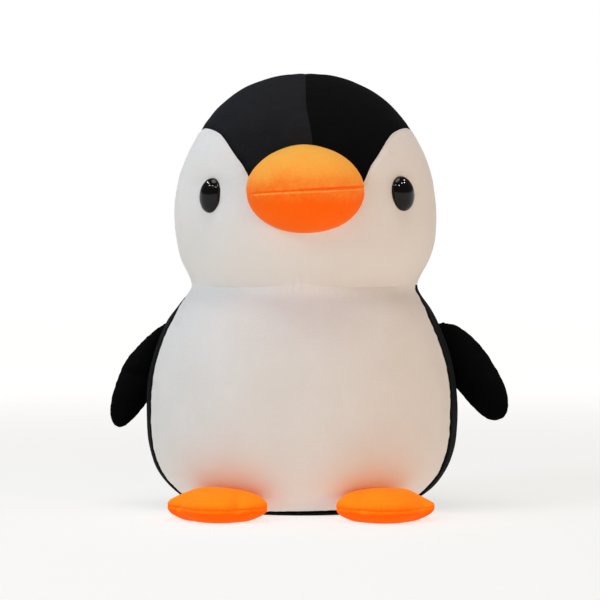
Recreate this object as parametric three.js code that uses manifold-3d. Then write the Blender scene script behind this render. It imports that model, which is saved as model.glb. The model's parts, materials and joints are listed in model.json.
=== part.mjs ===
// A stuffed toy penguin that sits upright on a flat base.
// Millimetres, +Z up, the face looks along -Y, and +X is on the left hand of the toy.
// The origin is the centre of the underside of the base.
//
// Every fabric piece is a thin shell of its own, and every stuffed part holds one
// solid of fibre. Flippers and feet turn about the seams that hold them to the torso,
// and the head turns on the flat neck seam.

import * as THREE from 'three';
import { mergeVertices } from 'three/addons/utils/BufferGeometryUtils.js';
import Module from 'manifold-3d';

const wasm = await Module();
wasm.setup();

// ---------------------------------------------------------------- driving sizes

const HEIGHT = 400;
const NECK_Z = 205;
const SKIN = 2;                  // thickness of the plush fabric with its pile
const GAP = 0.3;                 // clearance between neighbouring pieces
const AROUND = 28;               // facets around the torso and the head

// The torso and the head are squashed bodies of revolution. Above and below the
// widest level each outline is a quarter of a superellipse.
const TORSO = {
  widestZ: 90,
  halfWidth: 143.8,
  rise: 165,
  drop: 102,
  upperPower: 2,
  lowerPower: 2.8,
  depthRatio: 0.89,
};
const HEAD = {
  widestZ: 266,
  halfWidth: 121.4,
  rise: HEIGHT - 266,
  drop: 125,
  upperPower: 2.1,
  lowerPower: 2,
  depthRatio: 0.92,
};
const OUTLINE_STEPS = 6;         // facets up each quarter outline

// Side view (y, z) of the seam between the white belly and the black back.
const BELLY_SEAM_TOP_Y = -30;
const BELLY_SEAM_BOTTOM_Y = -48;

// Side view (y, z) of the round lobe of the white face, from the beak corner over
// the cheek and back down to the neck.
const FACE_LOBE = [
  [-101, 289],
  [-90, 307],
  [-78, 324],
  [-62, 338],
  [-44, 345],
  [-22, 349],
  [-2, 345],
  [13, 325],
  [22, 295],
  [25, 260],
  [16, 226],
  [0, NECK_Z],
];
const FACE_FRONT_Y = -130;

const BEAK = { centreY: -101, centreZ: 288, halfWidth: 50, reach: 47, halfHeight: 38 };

const EYE_ANGLE = 47.5;          // degrees from the middle of the face
const EYE_Z = 286.5;
const EYE = { halfWidth: 11, halfHeight: 15.5, dome: 7.5, shankRadius: 2.4, shankLength: 13 };
const WASHER = { innerRadius: 2.8, outerRadius: 9, thickness: 1.6, front: -4.6 };

// A flipper is a flat leaf. Its outline is (outward from the root seam, down it).
const FLIPPER_ROOT_TOP = { x: 129.9, y: 8, z: 171 };
const FLIPPER_ROOT_LEAN = 13.3;  // degrees the root seam leans outward going down
const FLIPPER_SWEEP = 5;         // degrees the leaf points behind sideways
const FLIPPER_HALF_THICKNESS = 9;
const FLIPPER_ROOT_SLOPE = 25;   // degrees each face opens from the root seam
const FLIPPER_HANG = { right: 0, left: 5.5 };  // extra degrees towards the torso
const FLIPPER_OUTLINE = [
  [1, 2],
  [12, 7],
  [25, 23],
  [36, 48],
  [42, 72],
  [41, 91],
  [31, 100],
  [19, 95],
  [9, 80],
  [1.5, 62],
  [1, 30],
];
const FLIPPER_SWING = 60;        // degrees each way

// Plan view (x, y) of the right foot, heel first and then round the three toes.
const FOOT_OUTLINE = [
  [47, -97],
  [62, -91],
  [80, -86],
  [99, -87],
  [114, -96],
  [117, -109],
  [110, -121],
  [99, -130],
  [95, -147],
  [83, -158],
  [68, -158],
  [56, -148],
  [43, -141],
  [32, -129],
  [33, -111],
];
const FOOT_SEAM_Z = 14;
const FOOT_TOP_Z = 30;
const FOOT_HINGE = { x: 65, y: -88.5, turn: 20 };
const FOOT_LIFT = 20;            // degrees the toes rise
const FOOT_DROOP = 25;           // degrees the toes fall when the toy is held up
const FOOT_STEP = 9;

const LABEL = { width: 14, length: 24, thickness: 0.8, z: 78 };

// ---------------------------------------------------------------- materials

const fabric = (colour) => new THREE.MeshStandardMaterial({
  color: colour,
  roughness: 0.92,
  metalness: 0,
});
const BLACK = fabric(0x141416);
const WHITE = fabric(0xf1eeec);
const ORANGE = fabric(0xff8a1e);
const FIBRE = fabric(0xf7f7f4);
const RIBBON = fabric(0xfafafa);
const EYE_PLASTIC = new THREE.MeshStandardMaterial({
  color: 0x0a0808,
  roughness: 0.08,
  metalness: 0,
});
const WASHER_PLASTIC = new THREE.MeshStandardMaterial({
  color: 0xdadada,
  roughness: 0.5,
  metalness: 0,
});

// ---------------------------------------------------------------- solids

const radians = THREE.MathUtils.degToRad;

function toSolid(geometry) {
  const bare = geometry.clone();
  bare.deleteAttribute('normal');
  bare.deleteAttribute('uv');
  const merged = mergeVertices(bare, 1e-4);
  const vertProperties = Float32Array.from(merged.attributes.position.array);
  const corners = merged.index.array;
  const triangles = [];
  for (let i = 0; i < corners.length; i += 3) {
    const [a, b, c] = [corners[i], corners[i + 1], corners[i + 2]];
    if (a !== b && b !== c && c !== a) triangles.push(a, b, c);
  }
  const triVerts = Uint32Array.from(triangles);
  return new wasm.Manifold(new wasm.Mesh({ numProp: 3, vertProperties, triVerts }));
}

function toGeometry(solid) {
  const mesh = solid.getMesh();
  const geometry = new THREE.BufferGeometry();
  geometry.setAttribute('position', new THREE.BufferAttribute(mesh.vertProperties, 3));
  geometry.setIndex(new THREE.BufferAttribute(mesh.triVerts, 1));
  return geometry;
}

function box(low, high) {
  const size = high.map((value, i) => value - low[i]);
  const middle = high.map((value, i) => (value + low[i]) / 2);
  return toSolid(new THREE.BoxGeometry(...size).translate(...middle));
}

const FAR = 500;
const above = (z) => box([-FAR, -FAR, z], [FAR, FAR, FAR]);
const below = (z) => box([-FAR, -FAR, -FAR], [FAR, FAR, z]);
const rightOf = (x) => box([x, -FAR, -FAR], [FAR, FAR, FAR]);
const leftOf = (x) => box([-FAR, -FAR, -FAR], [x, FAR, FAR]);

// One quarter of a superellipse outline as (radius, z) points.
function quarter(body, inset, up) {
  const width = body.halfWidth - inset;
  const reach = (up ? body.rise : body.drop) - inset;
  const power = up ? body.upperPower : body.lowerPower;
  const sign = up ? 1 : -1;
  const points = [];
  for (let i = 0; i <= OUTLINE_STEPS; i += 1) {
    const angle = (Math.PI / 2) * (i / OUTLINE_STEPS);
    const radius = i === OUTLINE_STEPS ? 0 : width * Math.cos(angle) ** (2 / power);
    points.push(new THREE.Vector2(radius, body.widestZ + sign * reach * Math.sin(angle) ** (2 / power)));
  }
  return points;
}

// The torso or head as one solid, inset by a distance and squashed front to back.
function round(body, inset) {
  const lower = quarter(body, inset, false).reverse();
  const profile = [...lower, ...quarter(body, inset, true).slice(1)];
  const geometry = new THREE.LatheGeometry(profile, AROUND, Math.PI / AROUND);
  geometry.rotateX(Math.PI / 2);
  geometry.scale(1, body.depthRatio, 1);
  return toSolid(geometry);
}

// A closed curve in side view, extruded right across the toy along X.
function acrossX(points) {
  const shape = new THREE.Shape(points.map(([y, z]) => new THREE.Vector2(y, z)));
  const geometry = new THREE.ExtrudeGeometry(shape, { depth: 2 * FAR, bevelEnabled: false });
  geometry.translate(0, 0, -FAR);
  geometry.rotateX(Math.PI / 2);
  geometry.rotateZ(Math.PI / 2);
  return toSolid(geometry);
}

// A stuffed pad over a flat outline: a sphere whose equator is moved to the outline
// and whose poles are pressed to the thickness that the shape gives at each point.
function pad(outline, segments, rings, thickness) {
  const curve = new THREE.SplineCurve([...outline, outline[0]].map(([a, b]) => new THREE.Vector2(a, b)));
  const rim = curve.getSpacedPoints(segments).slice(0, segments);
  if (THREE.ShapeUtils.isClockWise(rim)) rim.reverse();
  const centre = rim.reduce((sum, point) => sum.add(point), new THREE.Vector2()).divideScalar(segments);
  const geometry = new THREE.SphereGeometry(1, segments, rings);
  geometry.rotateX(Math.PI / 2);
  const position = geometry.attributes.position;
  for (let i = 0; i < position.count; i += 1) {
    const [x, y, z] = [position.getX(i), position.getY(i), position.getZ(i)];
    const spread = Math.min(1, Math.hypot(x, y));
    const turn = Math.atan2(y, x) / (2 * Math.PI);
    const column = Math.round((turn < 0 ? turn + 1 : turn) * segments) % segments;
    const point = centre.clone().lerp(rim[column], spread);
    const level = Math.abs(z) < 1e-6 ? 0 : thickness(spread, Math.sign(z), point);
    position.setXYZ(i, point.x, point.y, level);
  }
  return { solid: toSolid(geometry), centre };
}

// Skin and filling of a closed form that is star-shaped about a centre.
function hollow(outer, centre, half) {
  const shrink = (amount) => {
    const factor = half.map((length) => (length - amount) / length);
    const moved = outer.translate(centre.map((value) => -value)).scale(factor);
    return moved.translate(centre);
  };
  return { skin: outer.subtract(shrink(SKIN)), filling: shrink(SKIN + GAP) };
}

const group = new THREE.Group();

function addMesh(name, solid, material, parent = group) {
  const mesh = new THREE.Mesh(toGeometry(solid), material);
  mesh.name = name;
  parent.add(mesh);
  return mesh;
}

// ---------------------------------------------------------------- torso

function makeTorso() {
  const outer = round(TORSO, 0);
  const top = below(NECK_Z - GAP / 2);
  const walls = outer.subtract(round(TORSO, SKIN)).intersect(top);
  const wallFoot = SKIN + GAP;
  const sides = walls.intersect(above(wallFoot));
  const front = acrossX([
    [BELLY_SEAM_BOTTOM_Y, 0],
    [BELLY_SEAM_TOP_Y, NECK_Z],
    [-FAR, NECK_Z],
    [-FAR, 0],
  ]);
  const rear = acrossX([
    [BELLY_SEAM_BOTTOM_Y + GAP, 0],
    [FAR, 0],
    [FAR, NECK_Z],
    [BELLY_SEAM_TOP_Y + GAP, NECK_Z],
  ]);
  const back = sides.intersect(rear);
  addMesh('belly_panel', sides.intersect(front), WHITE);
  addMesh('back_panel_right', back.intersect(rightOf(GAP / 2)), BLACK);
  addMesh('back_panel_left', back.intersect(leftOf(-GAP / 2)), BLACK);
  addMesh('base_panel', outer.intersect(above(0)).intersect(below(SKIN)), BLACK);
  const filling = round(TORSO, SKIN + GAP).intersect(top);
  addMesh('torso_stuffing', filling.intersect(above(wallFoot)), FIBRE);
}

// A folded ribbon hanging from the middle seam low on the back.
function makeLabel() {
  const behind = TORSO.halfWidth * TORSO.depthRatio + GAP;
  const y = behind + LABEL.thickness / 2;
  const label = new THREE.Mesh(
    new THREE.BoxGeometry(LABEL.width, LABEL.thickness, LABEL.length),
    RIBBON,
  );
  label.name = 'care_label';
  label.position.set(0, y, LABEL.z);
  group.add(label);
}

// ---------------------------------------------------------------- head

// The place and outward direction of an eye on the face.
function eyePlacement(side) {
  const level = (EYE_Z - HEAD.widestZ) / HEAD.rise;
  const width = HEAD.halfWidth * (1 - level ** HEAD.upperPower) ** (1 / HEAD.upperPower);
  const angle = radians(EYE_ANGLE);
  const spot = new THREE.Vector3(
    side * width * Math.sin(angle),
    -width * HEAD.depthRatio * Math.cos(angle),
    EYE_Z,
  );
  const outward = new THREE.Vector3(
    spot.x / HEAD.halfWidth ** 2,
    spot.y / (HEAD.halfWidth * HEAD.depthRatio) ** 2,
    (EYE_Z - HEAD.widestZ) / HEAD.rise ** 2,
  ).normalize();
  return { spot, outward };
}

// A round pin along +Y, from one distance to another.
function pin(radius, from, to) {
  const geometry = new THREE.CylinderGeometry(radius, radius, to - from, 16);
  geometry.translate(0, (from + to) / 2, 0);
  return toSolid(geometry);
}

// Moves a solid made with +Y outward on to the face.
function ontoFace(solid, side) {
  const { spot, outward } = eyePlacement(side);
  const across = new THREE.Vector3(0, 0, 1).cross(outward).normalize();
  const up = outward.clone().cross(across);
  const matrix = new THREE.Matrix4().makeBasis(across.negate(), outward, up).setPosition(spot);
  return solid.transform(matrix.toArray());
}

function makeEye(name, side) {
  const dome = new THREE.SphereGeometry(1, 18, 10);
  dome.scale(EYE.halfWidth, EYE.dome, EYE.halfHeight);
  const seat = box([-FAR, GAP, -FAR], [FAR, FAR, FAR]);
  const lens = toSolid(dome).intersect(seat);
  const shank = pin(EYE.shankRadius, -EYE.shankLength, GAP + 1);
  addMesh(`eye_${name}`, ontoFace(lens.add(shank), side), EYE_PLASTIC);

  const rear = WASHER.front - WASHER.thickness;
  const disc = pin(WASHER.outerRadius, rear, WASHER.front);
  const washer = disc.subtract(pin(WASHER.innerRadius, rear - 1, 0));
  addMesh(`eye_washer_${name}`, ontoFace(washer, side), WASHER_PLASTIC);
}

function makeHead() {
  const outer = round(HEAD, 0);
  const bottom = above(NECK_Z + GAP / 2);
  const shell = outer.subtract(round(HEAD, SKIN)).intersect(bottom);
  const lobe = [...FACE_LOBE, [0, 0], [FACE_FRONT_Y, 0], [FACE_FRONT_Y, FACE_LOBE[0][1]]];
  const lobeVolume = acrossX(lobe);
  const capRoom = [
    [0, 0, 0],
    [0, GAP, 0],
    [0, 0, GAP],
    [0, GAP, GAP],
  ].map((shift) => lobeVolume.translate(shift));
  const face = shell.intersect(lobeVolume);
  const cap = capRoom.reduce((left, cutter) => left.subtract(cutter), shell);
  const sides = { right: 1, left: -1 };
  let filling = round(HEAD, SKIN + GAP).intersect(bottom);
  for (const [name, side] of Object.entries(sides)) {
    const half = side > 0 ? rightOf(GAP / 2) : leftOf(-GAP / 2);
    const hole = ontoFace(pin(EYE.shankRadius + GAP, -EYE.shankLength - 1, SKIN), side);
    const pocketFloor = WASHER.front - WASHER.thickness - GAP;
    const pocket = ontoFace(pin(WASHER.outerRadius + GAP, pocketFloor, SKIN), side);
    addMesh(`cap_${name}`, cap.intersect(half), BLACK);
    addMesh(`face_${name}`, face.intersect(half).subtract(hole), WHITE);
    filling = filling.subtract(pocket).subtract(hole);
    makeEye(name, side);
  }
  addMesh('head_stuffing', filling, FIBRE);
}

// ---------------------------------------------------------------- beak

function makeBeak() {
  const centre = [0, BEAK.centreY, BEAK.centreZ];
  const half = [BEAK.halfWidth, BEAK.reach, BEAK.halfHeight];
  const ball = new THREE.SphereGeometry(1, 20, 10);
  ball.rotateX(Math.PI / 2);
  ball.scale(...half);
  ball.translate(...centre);
  const { skin, filling } = hollow(toSolid(ball), centre, half);
  const headRoom = round(HEAD, -GAP);
  const open = skin.subtract(headRoom);
  addMesh('beak_upper', open.intersect(above(BEAK.centreZ + GAP / 2)), ORANGE);
  addMesh('beak_lower', open.intersect(below(BEAK.centreZ - GAP / 2)), ORANGE);
  addMesh('beak_stuffing', filling.subtract(headRoom), FIBRE);
}

// ---------------------------------------------------------------- flippers

function makeFlipper(name, side) {
  const hang = Math.tan(radians(FLIPPER_HANG[name]));
  const rootSlope = Math.tan(radians(FLIPPER_ROOT_SLOPE));
  const outline = FLIPPER_OUTLINE.map(([out, down]) => {
    return [Math.max(1, out - down * hang), -down];
  });
  const thickness = (spread, sign, point) => {
    const dome = FLIPPER_HALF_THICKNESS * Math.sqrt(1 - spread ** 2.4);
    return sign * Math.min(dome, rootSlope * point.x);
  };
  const { solid, centre } = pad(outline, 22, 6, thickness);
  const parts = hollow(solid, [centre.x, centre.y, 0], [20, 48, FLIPPER_HALF_THICKNESS]);
  const frontHalf = parts.skin.intersect(above(GAP / 2));
  const backHalf = parts.skin.intersect(below(-GAP / 2));
  const flipper = new THREE.Group();
  const { x, y, z } = FLIPPER_ROOT_TOP;
  flipper.position.set(side * x, y, z);
  flipper.rotation.set(0, -side * radians(FLIPPER_ROOT_LEAN), side * radians(FLIPPER_SWEEP), 'ZYX');
  // The pad is made in the XY plane and stood up, with its front face towards -Y.
  const stand = (piece) => {
    const upright = piece.rotate([90, 0, 0]);
    return side > 0 ? upright : upright.mirror([1, 0, 0]);
  };
  addMesh(`flipper_${name}_front`, stand(frontHalf), BLACK, flipper);
  addMesh(`flipper_${name}_back`, stand(backHalf), BLACK, flipper);
  addMesh(`flipper_${name}_stuffing`, stand(parts.filling), FIBRE, flipper);
  group.add(flipper);
}

// ---------------------------------------------------------------- feet

// The space that the torso takes from a foot as the foot turns about its seam.
function footClearance() {
  const { x, y, turn } = FOOT_HINGE;
  const hinge = [x, y, FOOT_SEAM_Z];
  const away = hinge.map((value) => -value);
  const body = round(TORSO, -2 * GAP).intersect(above(-GAP));
  let space = null;
  for (let angle = -FOOT_LIFT; angle <= FOOT_DROOP; angle += FOOT_STEP) {
    const turned = body.translate(away).rotate([0, 0, -turn]).rotate([-angle, 0, 0]);
    const placed = turned.rotate([0, 0, turn]).translate(hinge);
    space = space ? space.add(placed) : placed;
  }
  return space;
}

function makeFeet() {
  const clearance = footClearance();
  const thickness = (spread, sign) => {
    const dome = Math.sqrt(1 - spread ** 3);
    const crown = FOOT_TOP_Z - FOOT_SEAM_Z;
    return sign > 0 ? crown * dome : -FOOT_SEAM_Z * Math.min(1, 1.3 * dome);
  };
  const { solid, centre } = pad(FOOT_OUTLINE, 30, 6, thickness);
  const middle = [centre.x, centre.y, FOOT_SEAM_Z];
  const parts = hollow(solid.translate([0, 0, FOOT_SEAM_Z]), middle, [40, 34, FOOT_SEAM_Z]);
  const skin = parts.skin.subtract(clearance);
  const pieces = [
    ['top', skin.intersect(above(FOOT_SEAM_Z + GAP / 2)), ORANGE],
    ['sole', skin.intersect(below(FOOT_SEAM_Z - GAP / 2)), ORANGE],
    ['stuffing', parts.filling.subtract(clearance), FIBRE],
  ];
  for (const [label, piece, material] of pieces) {
    addMesh(`foot_right_${label}`, piece, material);
    addMesh(`foot_left_${label}`, piece.mirror([1, 0, 0]), material);
  }
}

makeTorso();
makeLabel();
makeHead();
makeBeak();
makeFlipper('right', 1);
makeFlipper('left', -1);
makeFeet();

export default group;
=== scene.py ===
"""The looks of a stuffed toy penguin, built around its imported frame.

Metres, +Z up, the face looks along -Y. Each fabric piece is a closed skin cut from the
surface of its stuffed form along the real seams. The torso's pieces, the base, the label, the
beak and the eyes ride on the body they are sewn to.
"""

import json
import math

import bpy
import numpy as np
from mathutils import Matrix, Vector, noise
from mathutils.kdtree import KDTree


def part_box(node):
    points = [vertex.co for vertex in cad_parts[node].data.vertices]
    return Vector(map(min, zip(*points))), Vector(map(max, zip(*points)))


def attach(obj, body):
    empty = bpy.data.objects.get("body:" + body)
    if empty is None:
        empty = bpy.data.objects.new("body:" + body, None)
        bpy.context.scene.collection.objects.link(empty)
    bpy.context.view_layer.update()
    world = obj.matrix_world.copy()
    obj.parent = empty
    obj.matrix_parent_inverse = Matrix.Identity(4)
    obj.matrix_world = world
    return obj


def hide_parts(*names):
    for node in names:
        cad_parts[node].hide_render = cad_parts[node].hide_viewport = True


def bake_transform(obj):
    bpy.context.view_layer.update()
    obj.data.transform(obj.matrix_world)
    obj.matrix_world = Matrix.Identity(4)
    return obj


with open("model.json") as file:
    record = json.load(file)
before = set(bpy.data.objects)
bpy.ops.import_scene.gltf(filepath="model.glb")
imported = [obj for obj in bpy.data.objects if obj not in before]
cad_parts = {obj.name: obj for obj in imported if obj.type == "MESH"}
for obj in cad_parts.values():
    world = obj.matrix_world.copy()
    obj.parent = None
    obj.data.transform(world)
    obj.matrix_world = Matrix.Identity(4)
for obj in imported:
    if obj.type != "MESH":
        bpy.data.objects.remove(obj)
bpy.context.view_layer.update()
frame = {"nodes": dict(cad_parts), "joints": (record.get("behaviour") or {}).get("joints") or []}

# ------------------------------------------------------------------ sizes from the frame


def box_of(*nodes):
    """Lowest and highest corner of several CAD nodes."""
    corners = [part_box(node) for node in nodes]
    low = np.min([np.array(low) for low, high in corners], axis=0)
    high = np.max([np.array(high) for low, high in corners], axis=0)
    return low, high


_, TORSO_HIGH = box_of("belly_panel", "back_panel_left", "back_panel_right")
HEAD_LOW, HEAD_HIGH = box_of("cap_left", "cap_right", "face_left", "face_right")
BEAK_LOW, BEAK_HIGH = box_of("beak_upper", "beak_lower")
NECK_Z = (TORSO_HIGH[2] + HEAD_LOW[2]) / 2
TOP_Z = HEAD_HIGH[2]
JOINTS = {joint["name"]: joint for joint in frame["joints"]}

SKIN = 0.0016                # thickness of the fabric
PILE_GAP = 0.0045            # how far the filling stays inside the skin

# Heights of the widest levels and how square each quarter outline is.
TORSO_WIDEST_Z = 0.090
TORSO_HALF_WIDTH = 0.1436
TORSO_RISE = 0.165
TORSO_DROP = 0.102
HEAD_WIDEST_Z = 0.266
HEAD_HALF_WIDTH = 0.1203
HEAD_DROP = 0.125

# The head sits a little to one side and turned, as stuffing leaves it.
HEAD_TURN = math.radians(1.5)
HEAD_SHIFT = 0.0037
HEAD_SETTLE = 0.045          # height over which the neck takes up both

# Side view (y, z) of the lobe of the white face.
FACE_LOBE = [
    (-0.101, 0.289),
    (-0.088, 0.315),
    (-0.060, 0.341),
    (-0.020, 0.349),
    (0.004, 0.341),
    (0.020, 0.305),
    (0.024, 0.255),
    (0.004, 0.205),
]

# Side view of the seam beside the belly: straight, then swung back over the shoulder.
# The swing is for the right side (1) and the left side (-1).
BELLY_SEAM_TOP_Y = -0.030
BELLY_SEAM_BOTTOM_Y = -0.040
SHOULDER_SWING = {1: 0.012, -1: 0.027}
SHOULDER_SWING_HEIGHT = 0.035

# Both skins come together in one ring at the neck, with a sewn crease.
NECK_RING = (0.1046, 0.0935)
NECK_SHIFT = 0.0028
NECK_FLARE = 0.016
NECK_ROUND = 0.0060
NECK_CREASE = 0.0022
NECK_CREASE_HALF_WIDTH = 0.0019
NECK_SAG = 0.0026

CAMERA_AZIMUTH = math.radians(1.5)
CAMERA_DISTANCE = 1.90
CAMERA_HEIGHT = 0.205
CAMERA_AIM = (-0.0014, 0.0, 0.1908)
CAMERA_LENS = 122.9


# ------------------------------------------------------------------ meshes


def grid_quads(cells):
    """The quads of a square grid, by the numbers of their corners."""
    corner = np.arange((cells + 1) ** 2).reshape(cells + 1, cells + 1)
    return np.stack(
        [corner[:-1, :-1], corner[1:, :-1], corner[1:, 1:], corner[:-1, 1:]], -1
    ).reshape(-1, 4)


def as_faces(quads):
    """An array of quads as a list of tuples."""
    return [tuple(quad) for quad in quads.tolist()]


def curve_point(p0, p1, p2, p3, t):
    """A point between p1 and p2 on the smooth curve through all four."""
    return 0.5 * (
        2 * p1
        + (p2 - p0) * t
        + (2 * p0 - 5 * p1 + 4 * p2 - p3) * t * t
        + (3 * p1 - 3 * p2 + p3 - p0) * t**3
    )


def quad_sphere(cells):
    """Directions and quads of a cube of cells by cells faces blown up to a unit sphere."""
    steps = np.tan(np.linspace(-1, 1, cells + 1) * math.pi / 4)
    a, b = np.meshgrid(steps, steps, indexing="ij")
    one = np.ones_like(a)
    sides = [
        (a, b, one),
        (b, a, -one),
        (one, a, b),
        (-one, b, a),
        (b, one, a),
        (a, -one, b),
    ]
    points = np.concatenate([np.stack(side, -1).reshape(-1, 3) for side in sides])
    quad = grid_quads(cells)
    count = (cells + 1) ** 2
    quads = np.concatenate([quad + side * count for side in range(6)])
    _, first, index = np.unique(
        np.round(points, 7), axis=0, return_index=True, return_inverse=True
    )
    points = points[first]
    points /= np.linalg.norm(points, axis=1)[:, None]
    return points, index.reshape(-1)[quads]


class Form:
    """A stuffed form whose outline above and below its widest level is a superellipse."""

    def __init__(self, centre, half, rise, drop, powers, plan_power=2.0):
        self.centre = np.array(centre, float)
        self.half = half
        self.rise = rise
        self.drop = drop
        self.powers = powers
        self.plan_power = plan_power

    def place(self, directions, inset=0.0):
        """Points of the surface in these directions from the centre."""
        half_x, half_y = self.half[0] - inset, self.half[1] - inset
        plan = self.plan_power
        flat = (
            np.abs(directions[:, 0] / half_x) ** plan
            + np.abs(directions[:, 1] / half_y) ** plan
        ) ** (1 / plan)
        up = directions[:, 2] > 0
        reach = np.where(up, self.rise - inset, self.drop - inset)
        power = np.where(up, self.powers[0], self.powers[1])
        tall = np.abs(directions[:, 2]) / reach
        size = (flat**power + tall**power) ** (-1 / power)
        return self.centre + directions * size[:, None]

    def project(self, points, inset=0.0):
        """The points moved along their rays on to the surface."""
        offset = points - self.centre
        offset /= np.linalg.norm(offset, axis=1)[:, None]
        return self.place(offset, inset)

    def depth_of(self, points):
        """How far inside the surface each point is, negative outside."""
        surface = self.project(points)
        outer = np.linalg.norm(surface - self.centre, axis=1)
        return outer - np.linalg.norm(points - self.centre, axis=1)


TORSO = Form(
    (0, 0, TORSO_WIDEST_Z),
    (TORSO_HALF_WIDTH, TORSO_HALF_WIDTH * 0.89),
    TORSO_RISE,
    TORSO_DROP,
    (2.0, 2.8),
)
HEAD = Form(
    (0, 0, HEAD_WIDEST_Z),
    (HEAD_HALF_WIDTH, HEAD_HALF_WIDTH * 0.92),
    TOP_Z - HEAD_WIDEST_Z,
    HEAD_DROP,
    (2.1, 2.0),
)


def smoothstep(value):
    value = np.clip(value, 0, 1)
    return value * value * (3 - 2 * value)


def cut(points, faces, level, project):
    """Cuts the faces where level changes sign. Returns the points, the faces and the
    dense points of the cut line. New corners are put back on the surface."""
    height = level(points)
    height[np.abs(height) < 1e-7] = 1e-7
    positive = height > 0
    whole = []
    made = {}
    extra = []
    segments = []
    for face in faces:
        sides = [bool(positive[i]) for i in face]
        if all(sides) or not any(sides):
            whole.append(face)
            continue
        loops = ([], [])
        crossing = []
        count = len(face)
        for k in range(count):
            i, j = face[k], face[(k + 1) % count]
            loops[sides[k]].append(i)
            if sides[k] != sides[(k + 1) % count]:
                key = (min(i, j), max(i, j))
                if key not in made:
                    a, b = key
                    share = height[a] / (height[a] - height[b])
                    made[key] = len(points) + len(extra)
                    extra.append(points[a] + share * (points[b] - points[a]))
                loops[0].append(made[key])
                loops[1].append(made[key])
                crossing.append(made[key])
        whole.extend(tuple(loop) for loop in loops if len(loop) > 2)
        segments.append(crossing[:2])
    if not extra:
        return points, whole, np.zeros((0, 3))
    points = np.vstack([points, project(np.array(extra))])
    ends = points[np.array(segments)]
    shares = np.linspace(0, 1, 7)[None, :, None]
    line = (ends[:, :1] * (1 - shares) + ends[:, 1:] * shares).reshape(-1, 3)
    return points, whole, line


def keep_faces(points, faces, wanted):
    """Only the faces whose middle satisfies wanted, with their points renumbered."""
    middles = np.array([points[list(face)].mean(0) for face in faces])
    chosen = [face for face, ok in zip(faces, wanted(middles)) if ok]
    used = sorted({i for face in chosen for i in face})
    renumber = {old: new for new, old in enumerate(used)}
    return used, [tuple(renumber[i] for i in face) for face in chosen]


def normals_of(points, faces):
    mesh = bpy.data.meshes.new("scratch")
    mesh.from_pydata(points.tolist(), [], faces)
    normals = np.zeros(len(points) * 3, np.float32)
    mesh.vertex_normals.foreach_get("vector", normals)
    bpy.data.meshes.remove(mesh)
    return normals.reshape(-1, 3).astype(float)


def rim_of(faces):
    """The open edges of a sheet, each in its face's direction."""
    open_edges = {}
    for face in faces:
        for k, i in enumerate(face):
            j = face[(k + 1) % len(face)]
            if (j, i) in open_edges:
                del open_edges[(j, i)]
            else:
                open_edges[(i, j)] = True
    return list(open_edges)


def thicken(points, faces, normals, thickness=SKIN):
    """A closed skin: the sheet, its inner side and the rim between them."""
    count = len(points)
    inner = [tuple(i + count for i in reversed(face)) for face in faces]
    rim = [(j, i, i + count, j + count) for i, j in rim_of(faces)]
    return np.vstack([points, points - normals * thickness]), faces + inner + rim


def make_object(name, points, faces, material):
    mesh = bpy.data.meshes.new(name)
    mesh.from_pydata(np.asarray(points).tolist(), [], [tuple(face) for face in faces])
    mesh.validate()
    mesh.polygons.foreach_set("use_smooth", [True] * len(mesh.polygons))
    mesh.set_sharp_from_angle(angle=math.radians(65))
    mesh.materials.append(material)
    obj = bpy.data.objects.new(name, mesh)
    bpy.context.scene.collection.objects.link(obj)
    return obj


# ------------------------------------------------------------------ seams and unevenness


class Seam:
    """A line where two pieces meet: a groove, with puckers that cross it."""

    def __init__(
        self, line, depth, width, pucker, reach=0.008, pitch=0.006, ridge=0.0, profile=None
    ):
        self.line = np.asarray(line)
        self.ridge = ridge
        self.share = np.ones(len(self.line)) if profile is None else profile(self.line)
        self.depth = depth
        self.width = width
        self.pucker = pucker
        self.reach = reach
        self.pitch = pitch
        self.tree = KDTree(len(self.line))
        for i, point in enumerate(self.line):
            self.tree.insert(point, i)
        self.tree.balance()

    def offset(self, points):
        """How far the surface moves outwards at each point, near this seam."""
        found = np.zeros(len(points))
        far = 3 * max(self.width, self.reach)
        low, high = self.line.min(0) - far, self.line.max(0) + far
        near = np.nonzero(((points > low) & (points < high)).all(1))[0]
        for i in near:
            place, nearest, distance = self.tree.find(points[i])
            if distance > far:
                continue
            share = self.share[nearest]
            ripple = noise.noise(place / self.pitch) + 0.6 * noise.noise(
                place / (0.45 * self.pitch) + Vector((7, 3, 5))
            )
            fade = math.exp(-((distance / self.reach) ** 1.5))
            groove = math.exp(-((distance / self.width) ** 1.6))
            lip = math.exp(-(((distance - 1.5 * self.width) / self.width) ** 2))
            found[i] = (
                self.pucker * ripple * fade
                - self.depth * share * groove
                + self.ridge * share * lip
            )
        return found

    def distance(self, points):
        return np.array([self.tree.find(point)[2] for point in points])


def unevenness(points, size, amount, seed):
    """Slow lumps of the stuffing under the fabric."""
    shift = Vector((seed * 3.7, seed * 1.3, seed * 2.9))
    return amount * np.array([noise.noise(Vector(p) / size + shift) for p in points])


def neck_radius(half, points):
    """Radius of an ellipse of these half sizes towards each point."""
    length = np.hypot(points[:, 0], points[:, 1])
    length = np.maximum(length, 1e-9)
    unit = points[:, :2] / length[:, None]
    return 1 / np.hypot(unit[:, 0] / half[0], unit[:, 1] / half[1]), unit


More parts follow.
